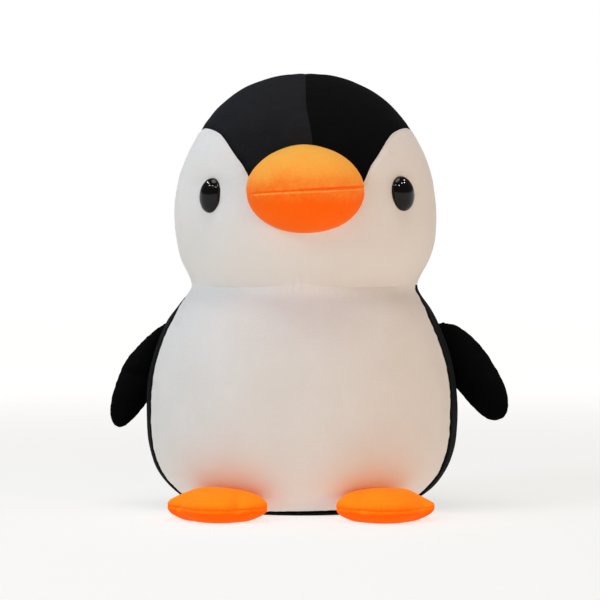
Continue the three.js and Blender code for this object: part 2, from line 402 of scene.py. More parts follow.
def gather_neck(form, points):
    """Brings a form's skin round into the common ring of the neck, with its crease."""
    side = 1 if form is HEAD else -1
    ring = ring_at(form, NECK_Z, 8)
    step = ring_at(form, NECK_Z + side * 0.004, 8)
    slope = (np.abs(step[:, 0]).max() - np.abs(ring[:, 0]).max()) / 0.004
    own, unit = neck_radius((np.abs(ring[:, 0]).max(), np.abs(ring[:, 1]).max()), points)
    common, _ = neck_radius(NECK_RING, points)
    height = np.abs(points[:, 2] - NECK_Z)
    rounded = np.hypot(height, NECK_ROUND) - NECK_ROUND
    flare = (common - own + slope * (rounded - height)) * np.exp(-((height / NECK_FLARE) ** 2))
    around = [Vector((x * 5, y * 5, 0)) for x, y in unit]
    slow = np.array([noise.noise(place) for place in around])
    quick = np.array([noise.noise(place * 5) for place in around])
    front = np.exp(-((unit[:, 0] / 0.30) ** 2)) * (unit[:, 1] < 0)
    beside = smoothstep((np.abs(unit[:, 0]) - 0.80) / 0.15)
    deep = (1 + 0.6 * slow) * (1 - 0.75 * front) * (1 - 0.9 * beside)
    crease = NECK_CREASE * deep * np.exp(-((height / NECK_CREASE_HALF_WIDTH) ** 1.4))
    pucker = 0.0008 * quick * np.exp(-((height / 0.008) ** 2))
    moved = points.copy()
    moved[:, :2] += unit * (flare - crease + pucker)[:, None]
    moved[:, 0] += NECK_SHIFT * np.exp(-((height / 0.024) ** 2))
    off_centre = np.sqrt(unit[:, 0] ** 2 + 0.01) - 0.1
    sag = NECK_SAG * 2.9 * off_centre * (1 - unit[:, 0] ** 2) * (unit[:, 1] < 0)
    moved[:, 2] -= sag * np.exp(-((height / 0.020) ** 2))
    return moved


def calm_at_neck(points):
    """1 away from the neck, falling to 0 on its ring, so that both skins meet there."""
    return 1 - np.exp(-(((points[:, 2] - NECK_Z) / 0.004) ** 2))


# ------------------------------------------------------------------ stuffing pressure


SIM_SCALE = 10
SIM_FRAMES = 20
SIM_PRESSURE = 4.0
SIM_SLACK = 0.02
BULGE_CAP = 0.0035


class Bulge:
    """How far the stuffing pushes the fabric out between its held seams."""

    def __init__(self, points, quads, held):
        self.out = None
        skin = make_object("inflating", points * SIM_SCALE, quads, FIBRE)
        group = skin.vertex_groups.new(name="held")
        for i, weight in enumerate(held):
            if weight > 0:
                group.add([i], float(weight), "REPLACE")
        cloth = skin.modifiers.new("cloth", "CLOTH")
        cloth.settings.quality = 6
        cloth.settings.mass = 0.3
        cloth.settings.bending_stiffness = 0.5
        cloth.settings.use_pressure = True
        cloth.settings.uniform_pressure_force = SIM_PRESSURE
        cloth.settings.shrink_min = -SIM_SLACK
        cloth.settings.vertex_group_mass = "held"
        cloth.settings.effector_weights.gravity = 0
        cloth.point_cache.frame_start = 1
        cloth.point_cache.frame_end = SIM_FRAMES
        for step in range(1, SIM_FRAMES + 1):
            bpy.context.scene.frame_set(step)
        shown = skin.evaluated_get(bpy.context.evaluated_depsgraph_get())
        moved = np.zeros(len(points) * 3)
        shown.data.vertices.foreach_get("co", moved)
        moved = moved.reshape(-1, 3) / SIM_SCALE
        bpy.context.scene.frame_set(1)
        bpy.data.objects.remove(skin)
        normals = normals_of(points, as_faces(quads))
        out = ((moved - points) * normals).sum(1)
        free = 1 - np.asarray(held)
        out = out - 0.8 * (out * free).sum() / max(free.sum(), 1) * free
        self.out = np.clip(out, -BULGE_CAP, BULGE_CAP)
        edges = np.linalg.norm(points[quads[:, 0]] - points[quads[:, 1]], axis=1)
        self.spread = 0.9 * float(np.median(edges))
        self.tree = KDTree(len(points))
        for i, point in enumerate(points):
            self.tree.insert(point, i)
        self.tree.balance()

    def at(self, points):
        """The push at each point of the finer skin."""
        if self.out is None:
            return np.zeros(len(points))
        found = np.zeros(len(points))
        for i, point in enumerate(points):
            near = self.tree.find_n(point, 9)
            shares = [math.exp(-((distance / self.spread) ** 2)) for _, _, distance in near]
            total = sum(shares) + 1e-12
            found[i] = sum(s * self.out[k] for s, (_, k, _) in zip(shares, near)) / total
        return found


def held_near(seams, points, reach=0.011):
    """Weights that hold the points close to any of these seams."""
    distance = np.min([seam.distance(points) for seam in seams], axis=0)
    return np.clip(1.2 - distance / reach, 0, 1)


# ------------------------------------------------------------------ materials


def plush(name, shade, crown, sheen, sheen_tint, nap=0.00035, roughness=0.88, glow=None):
    """Short velvety pile: brushed patches and tufts of close shades, a fine nap and a
    sheen. Its colour holds painted light and shade: surfaces that face up take the paler
    crown colour as painted light from above, and those that face sideways or down take the
    shade colour as painted shade."""
    material = bpy.data.materials.new(name)
    material.use_nodes = True
    nodes, links = material.node_tree.nodes, material.node_tree.links
    shader = nodes["Principled BSDF"]
    shader.inputs["Roughness"].default_value = roughness
    shader.inputs["Specular IOR Level"].default_value = 0.03
    shader.inputs["Sheen Weight"].default_value = sheen
    shader.inputs["Sheen Roughness"].default_value = 0.45
    shader.inputs["Sheen Tint"].default_value = (*sheen_tint, 1)
    place = nodes.new("ShaderNodeTexCoord")

    def cloud(scale, detail, rough):
        texture = nodes.new("ShaderNodeTexNoise")
        texture.inputs["Scale"].default_value = scale
        texture.inputs["Detail"].default_value = detail
        texture.inputs["Roughness"].default_value = rough
        links.new(place.outputs["Object"], texture.inputs["Vector"])
        return texture.outputs["Fac"]

    def join(first, factor, second):
        """first * factor + second"""
        node = nodes.new("ShaderNodeMath")
        node.operation = "MULTIPLY_ADD"
        links.new(first, node.inputs[0])
        node.inputs[1].default_value = factor
        if isinstance(second, float):
            node.inputs[2].default_value = second
        else:
            links.new(second, node.inputs[2])
        return node.outputs[0]

    patches = cloud(20, 3, 0.55)
    tufts = cloud(420, 2, 0.6)
    fibres = cloud(1500, 2, 0.7)
    # Painted light and shade: the height of the surface's normal mixes the shade colour into the crown
    # colour; the patches and tufts add random tone.
    facing = nodes.new("ShaderNodeNewGeometry")
    split = nodes.new("ShaderNodeSeparateXYZ")
    links.new(facing.outputs["Normal"], split.inputs[0])
    share = join(split.outputs["Z"], 0.42, -0.02)
    share = join(patches, 0.28, share)
    share = join(tufts, 0.16, share)
    ramp = nodes.new("ShaderNodeValToRGB")
    ramp.color_ramp.interpolation = "EASE"
    ramp.color_ramp.elements[0].position = 0.0
    ramp.color_ramp.elements[0].color = (*shade, 1)
    ramp.color_ramp.elements[1].position = 0.62
    ramp.color_ramp.elements[1].color = (*crown, 1)
    links.new(share, ramp.inputs["Fac"])
    links.new(ramp.outputs["Color"], shader.inputs["Base Color"])
    # Painted glow: an orange piece glows, though it is no lamp, so that its orange falls on the belly
    # and the floor beside it.
    if glow is not None:
        shader.inputs["Emission Color"].default_value = (*glow, 1)
        shader.inputs["Emission Strength"].default_value = 1.0
    bump = nodes.new("ShaderNodeBump")
    bump.inputs["Strength"].default_value = 0.55
    bump.inputs["Distance"].default_value = nap
    links.new(join(fibres, 0.6, tufts), bump.inputs["Height"])
    links.new(bump.outputs["Normal"], shader.inputs["Normal"])
    return material


def plastic(name, colour, roughness, coat):
    material = bpy.data.materials.new(name)
    material.use_nodes = True
    nodes, links = material.node_tree.nodes, material.node_tree.links
    shader = nodes["Principled BSDF"]
    shader.inputs["Roughness"].default_value = roughness
    shader.inputs["Specular IOR Level"].default_value = 0.26
    shader.inputs["Coat Weight"].default_value = coat
    shader.inputs["Coat Roughness"].default_value = 0.02
    place = nodes.new("ShaderNodeTexCoord")
    texture = nodes.new("ShaderNodeTexNoise")
    texture.inputs["Scale"].default_value = 60
    links.new(place.outputs["Object"], texture.inputs["Vector"])
    ramp = nodes.new("ShaderNodeValToRGB")
    ramp.color_ramp.elements[0].color = (*colour, 1)
    ramp.color_ramp.elements[1].color = (*[min(1, c * 1.25) for c in colour], 1)
    links.new(texture.outputs["Fac"], ramp.inputs["Fac"])
    links.new(ramp.outputs["Color"], shader.inputs["Base Color"])
    return material


# Each plush takes its shade colour as painted shade on surfaces that face sideways or down, and its
# crown colour as painted light on those that face up; the white's shade is warm for the painted shade
# under the head.
WHITE = plush("white_plush", (0.72, 0.680, 0.632), (0.84, 0.825, 0.81), 0.12, (1, 1, 1))
BLACK = plush("black_plush", (0.0012, 0.0012, 0.0014), (0.0035, 0.0035, 0.004), 0.008, (0.8, 0.9, 1))
# A lit copy of the black plush for the left cap: painted light where the lamp from the left falls on
# it.
LIT_BLACK = plush(
    "black_plush_brushed", (0.0018, 0.0018, 0.0022), (0.018, 0.018, 0.021), 0.012, (0.8, 0.9, 1)
)
# A lighter copy of the black plush for the back panels: painted light, so that their shape shows where
# the lamps leave them dark.
LIT_BACK_BLACK = plush(
    "black_plush_back", (0.0032, 0.0032, 0.0036), (0.008, 0.008, 0.009), 0.016, (0.8, 0.9, 1)
)
# The beak's orange is a lit copy of the orange plush, painted paler for the light that falls on the
# beak, with a faint painted glow.
ORANGE = plush(
    "orange_plush", (0.88, 0.105, 0.003), (1.0, 0.52, 0.085), 0.24, (1, 0.62, 0.24),
    glow=(0.10, 0.02, 0.001),
)
# The feet's orange is a deeper copy of the same plush, with a strong painted glow that throws orange
# light on the belly and the floor.
GLOWING_FOOT_ORANGE = plush(
    "orange_plush_brushed", (0.90, 0.070, 0.001), (1.0, 0.31, 0.014), 0.12, (1, 0.55, 0.2),
    glow=(0.38, 0.055, 0.0),
)
FIBRE = plush("fibre_fill", (0.78, 0.78, 0.76), (0.9, 0.9, 0.88), 0.3, (1, 1, 1), nap=0.002)
RIBBON = plush("label_ribbon", (0.84, 0.84, 0.83), (0.9, 0.9, 0.89), 0.1, (1, 1, 1), 0.0001, 0.45)
EYE_PLASTIC = plastic("eye_plastic", (0.003, 0.002, 0.002), 0.05, 0.0)
WASHER_PLASTIC = plastic("washer_plastic", (0.6, 0.6, 0.6), 0.45, 0.0)


# ------------------------------------------------------------------ torso


def belly_side(points):
    """Positive in front of the seam between the belly and the back."""
    share = points[:, 2] / NECK_Z
    seam_y = BELLY_SEAM_BOTTOM_Y + (BELLY_SEAM_TOP_Y - BELLY_SEAM_BOTTOM_Y) * share
    swing = smoothstep((points[:, 2] - NECK_Z) / SHOULDER_SWING_HEIGHT + 1)
    reach = np.where(points[:, 0] > 0, SHOULDER_SWING[1], SHOULDER_SWING[-1])
    return seam_y + reach * swing - points[:, 1]


def ring_at(form, z, count=2400):
    """Dense points of a form's outline at a height."""
    angles = np.linspace(0, 2 * math.pi, count, endpoint=False)
    low, high = 0.0, 3.0
    for _ in range(40):
        middle = (low + high) / 2
        probe = np.array([[math.sin(0.3), -math.cos(0.3), middle * np.sign(z - form.centre[2])]])
        probe /= np.linalg.norm(probe)
        reached = form.place(probe)[0][2]
        if abs(reached - form.centre[2]) < abs(z - form.centre[2]):
            low = middle
        else:
            high = middle
    radius = np.linalg.norm((form.place(probe)[0] / [form.half[0], form.half[1], 1])[:2])
    x = form.half[0] * radius * np.sin(angles)
    y = -form.half[1] * radius * np.cos(angles)
    return np.stack([x, y, np.full(count, z)], 1)


def middle_line(form, low, high, front, count=1500):
    """Dense points of a form's outline in the plane x = 0, between two heights."""
    sign = -1 if front else 1
    angles = np.linspace(-math.pi / 2, math.pi / 2, count)
    directions = np.stack([np.zeros(count), sign * np.cos(angles), np.sin(angles)], 1)
    points = form.place(directions)
    return points[(points[:, 2] >= low) & (points[:, 2] <= high)]


def make_panels(points, faces, seams, panels, lumps, settle=None, neck=None, thickness=SKIN):
    """Grooves the seams, adds lumps, and makes one closed skin for each panel."""
    normals = normals_of(points, faces)
    offset = sum(seam.offset(points) for seam in seams)
    offset = offset + lumps(points)
    if neck is not None:
        offset = offset * calm_at_neck(points)
        moved = gather_neck(neck, points + normals * offset[:, None])
    else:
        moved = points + normals * offset[:, None]
    if settle is not None:
        moved = settle(moved)
    normals = normals_of(moved, faces)
    made = {}
    for name, wanted, material in panels:
        used, own = keep_faces(points, faces, wanted)
        skin_points, skin_faces = thicken(moved[used], own, normals[used], thickness)
        made[name] = make_object(name, skin_points, skin_faces, material)
    return made


def cloth_lumps(seed, big=0.0011, small=0.00035):
    def lumps(points):
        slow = unevenness(points, 0.060, big, seed)
        return slow + unevenness(points, 0.018, small, seed + 5)
    return lumps


TORSO_CELLS = 124
BASE_Z = 0.0032


def make_torso():
    directions, quads = quad_sphere(TORSO_CELLS)
    points = TORSO.place(directions)
    faces = as_faces(quads)
    points, faces, belly_line = cut(points, faces, belly_side, TORSO.project)
    for level in (lambda p: NECK_Z - p[:, 2], lambda p: p[:, 2] - BASE_Z):
        points, faces, _ = cut(points, faces, level, TORSO.project)
    inside = lambda m: (m[:, 2] < NECK_Z) & (m[:, 2] > BASE_Z)
    used, faces = keep_faces(points, faces, inside)
    points = points[used]
    belly_line = belly_line[(belly_line[:, 2] < NECK_Z) & (belly_line[:, 2] > BASE_Z)]
    seams = [
        Seam(belly_line, 0.0017, 0.0026, 0.00045),
        Seam(middle_line(TORSO, 0.0, NECK_Z, False), 0.0013, 0.0024, 0.0004),
        Seam(ring_at(TORSO, BASE_Z), 0.0012, 0.0030, 0.0004),
    ]
    rough_directions, rough_quads = quad_sphere(38)
    rough = TORSO.place(rough_directions)
    rough[:, 2] = np.clip(rough[:, 2], BASE_Z, NECK_Z)
    held = held_near(seams, rough)
    held = np.maximum(held, np.clip((rough[:, 2] - NECK_Z) / 0.010 + 1, 0, 1))
    held[rough[:, 2] <= BASE_Z] = 1
    bulge = Bulge(rough, rough_quads, held)
    panels = [
        ("belly", lambda m: belly_side(m) > 0, WHITE),
        ("back_right", lambda m: (belly_side(m) < 0) & (m[:, 0] > 0), LIT_BACK_BLACK),
        ("back_left", lambda m: (belly_side(m) < 0) & (m[:, 0] < 0), LIT_BACK_BLACK),
    ]

    def flat_on_floor(moved):
        moved[:, 2] = np.maximum(moved[:, 2], BASE_Z)
        return moved

    lumps = cloth_lumps(1)
    pushed = lambda where: lumps(where) + bulge.at(where)
    made = make_panels(points, faces, seams, panels, pushed, flat_on_floor, TORSO)
    stands_for = {
        "belly": "belly_panel",
        "back_right": "back_panel_right",
        "back_left": "back_panel_left",
    }
    for name, obj in made.items():
        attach(obj, "torso")
        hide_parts(stands_for[name])
    make_filling("torso_fill", TORSO, "torso", "torso_stuffing", 0.010, NECK_Z - 0.002)


# The filling is drawn in by this share at the neck, fading over this height.
FILL_NECK_SHARE = 0.085
FILL_NECK_REACH = 0.022


def make_filling(name, form, body, node, low, high, settle=None):
    """The fibre inside a form, a smooth solid just inside the skin."""
    directions, quads = quad_sphere(24)
    points = form.place(directions, PILE_GAP)
    points += directions * unevenness(points, 0.030, 0.0010, 9)[:, None]
    points[:, 2] = np.clip(points[:, 2], low, high)
    near_neck = np.exp(-(((points[:, 2] - NECK_Z) / FILL_NECK_REACH) ** 2))
    points[:, :2] *= (1 - FILL_NECK_SHARE * near_neck)[:, None]
    if settle is not None:
        points = settle(points)
    obj = make_object(name, points, quads.tolist(), FIBRE)
    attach(obj, body)
    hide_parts(node)
    return obj


def make_base():
    """The flat black panel that the toy sits on."""
    rings = 10
    count = 120
    edge = ring_at(TORSO, BASE_Z, count)
    points = [[0, 0, 0.0]]
    foot = ring_at(TORSO, 0.0, count)
    for ring in range(1, rings + 1):
        share = min(1.0, ring / (rings - 2))
        rise = max(0, ring - rings + 2) / 2
        for low, high in zip(foot, edge):
            spot = low * share * (1 - rise) + high * rise
            points.append([spot[0], spot[1], BASE_Z * rise])
    faces = [(0, 1 + (k + 1) % count, 1 + k) for k in range(count)]
    for ring in range(rings - 1):
        start = 1 + ring * count
        for k in range(count):
            n = (k + 1) % count
            faces.append((start + k, start + n, start + count + n, start + count + k))
    points = np.array(points)
    up = np.tile([0.0, 0.0, -1.0], (len(points), 1))
    points, faces = thicken(points, [tuple(face) for face in faces], up, 0.0015)
    obj = make_object("base", points, faces, BLACK)
    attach(obj, "torso")
    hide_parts("base_panel")


# ------------------------------------------------------------------ head


def lobe_curve(samples=400):
    """The lobe's outline in side view as a smooth dense curve."""
    corners = np.array(FACE_LOBE)
    ends = [2 * corners[0] - corners[1], *corners, 2 * corners[-1] - corners[-2]]
    corners = np.array(ends)
    found = []
    for k in range(1, len(corners) - 2):
        p0, p1, p2, p3 = corners[k - 1 : k + 3]
        for t in np.linspace(0, 1, samples // 10, endpoint=False):
            found.append(curve_point(p0, p1, p2, p3, t))
    found.append(corners[-2])
    return np.array(found)


LOBE = lobe_curve()


def face_side(points):
    """Positive inside the white face, by side view."""
    start, end = LOBE[0], LOBE[-1]
    outline = np.vstack([LOBE, [end[0], 0.0], [-0.30, 0.0], [-0.30, start[1]], [start[0], start[1]]])
    y, z = points[:, 1], points[:, 2]
    inside = np.zeros(len(points), bool)
    for (y1, z1), (y2, z2) in zip(outline[:-1], outline[1:]):
        if z1 == z2:
            continue
        crosses = (z1 > z) != (z2 > z)
        at = y1 + (z - z1) * (y2 - y1) / (z2 - z1)
        inside ^= crosses & (y < at)
    line = np.vstack([[[-0.30, start[1]]], LOBE, [[end[0], 0.0]]])
    a, b = line[:-1], line[1:]
    along = b - a
    nearest = np.full(len(points), np.inf)
    for k in range(len(a)):
        offset = np.stack([y, z], 1) - a[k]
        length = (along[k] ** 2).sum()
        share = np.clip(offset @ along[k] / max(length, 1e-12), 0, 1)
        distance = np.hypot(*(offset - share[:, None] * along[k]).T)
        nearest = np.minimum(nearest, distance)
    return np.where(inside, nearest, -nearest)


def settle_head(points):
    """Turns and shifts the head a little on its neck."""
    share = smoothstep((points[:, 2] - NECK_Z) / HEAD_SETTLE)
    turn = HEAD_TURN * share
    x = points[:, 0] * np.cos(turn) - points[:, 1] * np.sin(turn)
    y = points[:, 0] * np.sin(turn) + points[:, 1] * np.cos(turn)
    return np.stack([x + HEAD_SHIFT * share, y, points[:, 2]], 1)


# How far the right eye (1) and the left eye (-1) are moved from the CAD's, before the head is
# turned and shifted, and the eyes' sizes.
EYE_SHIFT = {1: (-0.0012, 0.0, -0.0002), -1: (0.0050, 0.0, -0.0024)}
EYE_HALF_WIDTH = {1: 0.0133, -1: 0.0119}
EYE_HALF_HEIGHT = 0.0158
EYE_DOME = 0.0092
EYE_SINK = 0.0022            # how far the dome's edge lies under the fabric
EYE_LEAN = math.radians(2.0)


def eye_seat(side):
    """Where an eye sits on the face and which way it looks."""
    low, high = box_of("eye_right" if side > 0 else "eye_left")
    middle = (low + high) / 2 + EYE_SHIFT[side]
    spot = HEAD.project(middle[None, :])[0]
    scale = np.array([HEAD.half[0], HEAD.half[1], HEAD.rise]) ** 2
    outward = (spot - HEAD.centre) / scale
    return spot, outward / np.linalg.norm(outward)


HEAD_CELLS = 112
# The crown seam bends sideways on the brow: how far, between which heights and how it fades.
CROWN_SEAM_BEND = 0.0058
CROWN_BEND_TOP = 0.372
CROWN_BEND_TOP_FADE = 0.045
CROWN_BEND_BOTTOM = 0.270
CROWN_BEND_BOTTOM_FADE = 0.030
CROWN_BEND_BACK_FADE = 0.020
CROWN_BEND_HALF_WIDTH = 0.045
EYE_DIMPLE = 0.0014
EYE_DIMPLE_RADIUS = 0.017
EYE_HOLD_RADIUS = 0.013      # the cloth can't swell this close to an eye


def make_head():
    directions, quads = quad_sphere(HEAD_CELLS)
    points = HEAD.place(directions)
    faces = as_faces(quads)
    points, faces, lobe_line = cut(points, faces, face_side, HEAD.project)
    points, faces, _ = cut(points, faces, lambda p: p[:, 2] - NECK_Z, HEAD.project)
    used, faces = keep_faces(points, faces, lambda m: m[:, 2] > NECK_Z)
    points = points[used]
    lobe_line = lobe_line[lobe_line[:, 2] > NECK_Z]
    seams = [
        Seam(lobe_line, 0.0015, 0.0024, 0.00045),
        Seam(middle_line(HEAD, BEAK_HIGH[2], TOP_Z + 1, True), 0.0005, 0.0020, 0.0003),
        Seam(middle_line(HEAD, NECK_Z, BEAK_LOW[2], True), 0.0002, 0.0030, 0.0001),
        Seam(middle_line(HEAD, NECK_Z, TOP_Z + 1, False), 0.0012, 0.0022, 0.0004),
    ]
    seats = [eye_seat(1), eye_seat(-1)]
    rough_directions, rough_quads = quad_sphere(34)
    rough = HEAD.place(rough_directions)
    rough[:, 2] = np.maximum(rough[:, 2], NECK_Z)
    held = held_near(seams, rough)
    held = np.maximum(held, np.clip((NECK_Z - rough[:, 2]) / 0.010 + 1, 0, 1))
    for spot, _ in seats:
        held[np.linalg.norm(rough - spot, axis=1) < EYE_HOLD_RADIUS] = 1
    bulge = Bulge(rough, rough_quads, held)

    def bend_and_settle(moved):
        x, y, z = moved.T
        below_top = smoothstep((CROWN_BEND_TOP - z) / CROWN_BEND_TOP_FADE)
        share = below_top * smoothstep((z - CROWN_BEND_BOTTOM) / CROWN_BEND_BOTTOM_FADE)
        in_front = smoothstep(-y / CROWN_BEND_BACK_FADE)
        share *= in_front * np.exp(-((x / CROWN_BEND_HALF_WIDTH) ** 2))
        return settle_head(moved + np.outer(CROWN_SEAM_BEND * share, [1, 0, 0]))

    def lumps(where):
        found = cloth_lumps(3)(where) + bulge.at(where)
        for spot, _ in seats:
            distance = np.linalg.norm(where - spot, axis=1)
            found = found - EYE_DIMPLE * np.exp(-((distance / EYE_DIMPLE_RADIUS) ** 2))
        return found

    panels = [
        ("cap_r", lambda m: (face_side(m) < 0) & (m[:, 0] > 0), BLACK),
        # The left cap wears the lit copy of the black plush: painted light.
        ("cap_l", lambda m: (face_side(m) < 0) & (m[:, 0] < 0), LIT_BLACK),
        ("face_r", lambda m: (face_side(m) > 0) & (m[:, 0] > 0), WHITE),
        ("face_l", lambda m: (face_side(m) > 0) & (m[:, 0] < 0), WHITE),
    ]
    stands_for = {
        "cap_r": "cap_right",
        "cap_l": "cap_left",
        "face_r": "face_right",
        "face_l": "face_left",
    }
    made = make_panels(points, faces, seams, panels, lumps, bend_and_settle, HEAD)
    for name, obj in made.items():
        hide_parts(stands_for[name])
        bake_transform(obj)
    make_filling("head_fill", HEAD, "head", "head_stuffing", NECK_Z + 0.002, 1.0, settle_head)


def make_eye(name, side):
    """A glossy oval dome. Its washer stays where the CAD has it, and only gets a material."""
    spot, outward = eye_seat(side)
    up = np.array([0.0, 0.0, 1.0])
    across = np.cross(up, outward)
    across /= np.linalg.norm(across)
    lift = np.cross(outward, across)
    lean = EYE_LEAN * side
    across, lift = (
        across * math.cos(lean) + lift * math.sin(lean),
        lift * math.cos(lean) - across * math.sin(lean),
    )
    base = spot - outward * EYE_SINK
    directions, quads = quad_sphere(28)
    half = np.array([EYE_HALF_WIDTH[side], EYE_HALF_HEIGHT, EYE_DOME])
    local = directions * half
    local[:, 2] = np.where(local[:, 2] < 0, local[:, 2] * 0.25, local[:, 2])
    place = base + local @ np.stack([across, lift, outward])
    eye = make_object(f"eye_dome_{name}", settle_head(place), quads.tolist(), EYE_PLASTIC)
    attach(eye, "head")
    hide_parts(f"eye_{name}")
    washer = frame["nodes"][f"eye_washer_{name}"]
    washer.data.materials.clear()
    washer.data.materials.append(WASHER_PLASTIC)


# ------------------------------------------------------------------ beak


BEAK_MIDDLE_X = -0.0004
BEAK_MIDDLE_Y = -0.101
BEAK_EXTRA_HALF_WIDTH = 0.0017
BEAK_POWERS = (1.88, 2.1)    # how square the upper and the lower half are
BEAK_ROOT = 0.004            # how deep the beak's skin reaches into the head
BEAK_OVERHANG = 0.0035
BEAK_RISE = 0.0393
BEAK_DROP = 0.039


def beak_seam_z(x):
    """The mouth runs a little downhill and sags in the middle."""
    return 0.2852 + 0.06 * x + 0.0011 * (x / 0.05) ** 2


def make_beak():
    half_width = (BEAK_HIGH[0] - BEAK_LOW[0]) / 2 + BEAK_EXTRA_HALF_WIDTH
    middle_z = (BEAK_LOW[2] + BEAK_HIGH[2]) / 2
    middle = np.array([BEAK_MIDDLE_X, BEAK_MIDDLE_Y - BEAK_OVERHANG, middle_z])
    reach = middle[1] - BEAK_LOW[1]
    form = Form(middle, (half_width, reach), BEAK_RISE, BEAK_DROP, BEAK_POWERS)
    directions, quads = quad_sphere(100)
    points = form.place(directions)
    faces = as_faces(quads)

    def seam_level(p):
        return p[:, 2] - beak_seam_z(p[:, 0])

    points, faces, seam_line = cut(points, faces, seam_level, form.project)

    def proud(p):
        return -HEAD.depth_of(p) + BEAK_ROOT

    points, faces, _ = cut(points, faces, proud, lambda p: p)
    used, faces = keep_faces(points, faces, lambda m: proud(m) > 0)
    points = points[used]
    seam_line = seam_line[proud(seam_line) > 0]
    corner = seam_line[np.argmax(seam_line[:, 0])]
    fold = np.linspace([0.0475, 0, corner[2]], [0.0440, 0, corner[2] - 0.013], 60)
    fold[:, 1] = middle[1] - 0.010
    fold = form.project(fold)

    def mouth(line):
        right = smoothstep((line[:, 0] + 0.012) / 0.030)
        left_end = smoothstep((line[:, 0] + 0.050) / 0.010)
        right_end = 1 - 0.85 * smoothstep((line[:, 0] - 0.043) / 0.006)
        stitches = np.array([noise.noise(Vector((x / 0.0032, 3, 1))) for x in line[:, 0]])
        pulled = 0.45 + 0.9 * np.maximum(stitches, -0.4) * (1 - right)
        return (pulled + 0.75 * right) * left_end * right_end

    seams = [
        Seam(seam_line, 0.0026, 0.0009, 0.0006, 0.0036, 0.0030, 0.0002, mouth),
        Seam(fold, 0.0007, 0.0010, 0.0002, 0.003, 0.004),
    ]
    rough_directions, rough_quads = quad_sphere(18)
    rough = form.place(rough_directions)
    held = np.maximum(held_near(seams[:1], rough, 0.006), proud(rough) < 0.004)
    bulge = Bulge(rough, rough_quads, held)
    lumps = cloth_lumps(6, 0.0007, 0.0003)
    panels = [
        ("beak_top", lambda m: seam_level(m) > 0, ORANGE),
        ("beak_bottom", lambda m: seam_level(m) < 0, ORANGE),
    ]
    pushed = lambda where: lumps(where) + bulge.at(where)
    made = make_panels(points, faces, seams, panels, pushed, settle_head)
    for name, node in (("beak_top", "beak_upper"), ("beak_bottom", "beak_lower")):
        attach(made[name], "head")
        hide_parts(node)
    directions, quads = quad_sphere(16)
    points = form.place(directions, PILE_GAP)
    heart = middle - [0, reach * 0.5, 0]
    near, far = np.zeros(len(points)), np.ones(len(points))
    for _ in range(24):
        share = (near + far) / 2
        clear = HEAD.depth_of(heart + (points - heart) * share[:, None]) < -0.001
        near = np.where(clear, share, near)
        far = np.where(clear, far, share)
    points = heart + (points - heart) * near[:, None]
    fill = make_object("beak_fill", settle_head(points), quads.tolist(), FIBRE)
    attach(fill, "head")
    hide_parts("beak_stuffing")


# ------------------------------------------------------------------ flat pads


def disc_grid(cells):
    """A unit disc as quads: the square grid pressed round. Returns (radius, turn), quads."""
    steps = np.linspace(-1, 1, cells + 1)
    a, b = np.meshgrid(steps, steps, indexing="ij")
    radius = np.maximum(np.abs(a), np.abs(b))
    turn = np.arctan2(b, a)
    across = np.abs(a) >= np.abs(b)
    with np.errstate(divide="ignore", invalid="ignore"):
        first = (math.pi / 4) * (b / a)
        second = math.pi / 2 - (math.pi / 4) * (a / b)
    turn = np.where(across, np.where(a >= 0, first, first + math.pi), second)
    turn = np.where(~across & (b < 0), second + math.pi, turn)
    turn = np.where(radius == 0, 0, turn)
    return radius.reshape(-1), turn.reshape(-1), grid_quads(cells)


def closed_spline(corners, count):
    """A smooth closed outline through the corners, evenly spaced, counter-clockwise."""
    corners = np.array(corners, float)
    total = len(corners)
    found = []
    for k in range(total):
        p0, p1, p2, p3 = (corners[(k + i - 1) % total] for i in range(4))
        for t in np.linspace(0, 1, 40, endpoint=False):
            found.append(curve_point(p0, p1, p2, p3, t))
    found = np.array(found + [found[0]])
    lengths = np.concatenate([[0], np.cumsum(np.hypot(*np.diff(found, axis=0).T))])
    even = np.linspace(0, lengths[-1], count, endpoint=False)
    outline = np.stack([np.interp(even, lengths, found[:, k]) for k in (0, 1)], 1)
    x, y = outline.T
    area = np.sum(x * np.roll(y, -1) - np.roll(x, -1) * y)
    return outline if area > 0 else outline[::-1]


class Pad:
    """Two panels sewn round one outline and stuffed, lying in the XY plane."""

    def __init__(self, corners, cells, heights):
        self.outline = closed_spline(corners, 720)
        self.centre = self.outline.mean(0)
        self.cells = cells
        self.heights = heights

    def side(self, sign, cells=None):
        """Points and quads of the upper or lower panel, facing out."""
        radius, turn, quads = disc_grid(cells or self.cells)
        spot = (turn / (2 * math.pi)) % 1.0 * len(self.outline)
        below = np.floor(spot).astype(int) % len(self.outline)
        share = (spot - np.floor(spot))[:, None]
        rim = self.outline[below] * (1 - share) + self.outline[(below + 1) % len(self.outline)] * share
        spread = np.sin(radius * math.pi / 2)[:, None]
        flat = self.centre + (rim - self.centre) * spread
        level = self.heights(spread[:, 0], sign, flat)
        points = np.column_stack([flat, level])
        return points, quads if sign > 0 else quads[:, ::-1]

    def bulge(self, edge, cells=16):
        """The stuffing pressure on both panels, held along their seam."""
        upper, lower = self.side(1, cells), self.side(-1, cells)
        points = np.vstack([upper[0], lower[0]])
        quads = np.vstack([upper[1], lower[1] + len(upper[0])])
        _, first, index = np.unique(
            np.round(points, 6), axis=0, return_index=True, return_inverse=True
        )
        points = points[first]
        return Bulge(points, index.reshape(-1)[quads], held_near([edge], points, 0.007))


def level_rim(normals, on_rim):
    """The normals with those of the rim laid flat, so that both panels share them."""
    normals = normals.copy()
    normals[on_rim, 2] = 0
    normals[on_rim] /= np.linalg.norm(normals[on_rim], axis=1)[:, None]
    return normals


